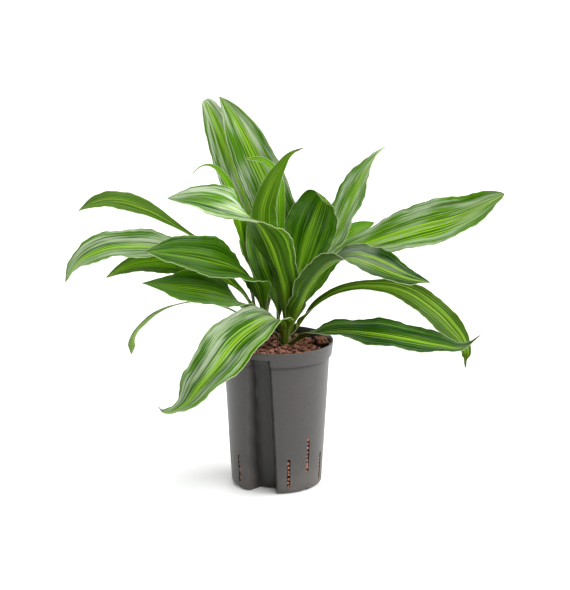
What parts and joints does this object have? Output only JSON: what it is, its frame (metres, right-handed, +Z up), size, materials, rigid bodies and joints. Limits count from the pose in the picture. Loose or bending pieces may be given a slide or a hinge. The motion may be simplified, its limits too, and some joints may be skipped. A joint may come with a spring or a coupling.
{
  "type": "potted dracaena",
  "caption": "Dracaena with broad arching strap leaves on short stems, growing in clay granules in a tapered culture pot with pressed flutes and watering slots.",
  "frame": {"origin": "centre of the pot's flat underside", "axes": "+Z up along the pot's axis, -Y towards the front of the plant"},
  "size_m": [0.5689, 0.3419, 0.5017],
  "materials": {
    "pot_plastic": "satin dark grey moulded plastic",
    "clay_granules": "rough reddish brown fired clay",
    "stem": "green stem ringed with leaf scars",
    "leaf_green": "satin, waxy, dark green with a lighter stripe",
    "leaf_striped": "satin, waxy, green with a broad lime stripe",
    "leaf_pale": "satin, yellowing green",
    "leaf_shaded": "satin, deep green"
  },
  "bodies": {
    "root": {"pot": "pot_plastic", "granules": "clay_granules", "stem_front": "stem", "stem_rear": "stem", "leaf_front_low": "leaf_green", "leaf_right_low": "leaf_green", "leaf_right_droop": "leaf_pale", "leaf_right_fold": "leaf_green", "leaf_right_long": "leaf_striped", "leaf_front_fold": "leaf_green", "leaf_right_rear": "leaf_striped", "leaf_centre": "leaf_striped", "leaf_right_upright": "leaf_green", "leaf_top_tall": "leaf_green", "leaf_front_upright": "leaf_striped", "leaf_top_slender": "leaf_striped", "leaf_back_mid": "leaf_green", "leaf_back_right": "leaf_green", "leaf_short": "leaf_shaded", "leaf_side_slender": "leaf_shaded", "leaf_left_low": "leaf_green", "leaf_left_thin": "leaf_pale", "leaf_left_fold": "leaf_green", "leaf_left_under": "leaf_pale", "leaf_left_long": "leaf_green", "leaf_left_high": "leaf_green", "leaf_left_upright": "leaf_striped", "leaf_top_left": "leaf_green", "leaf_back_left": "leaf_green"}
  },
  "joints": []
}
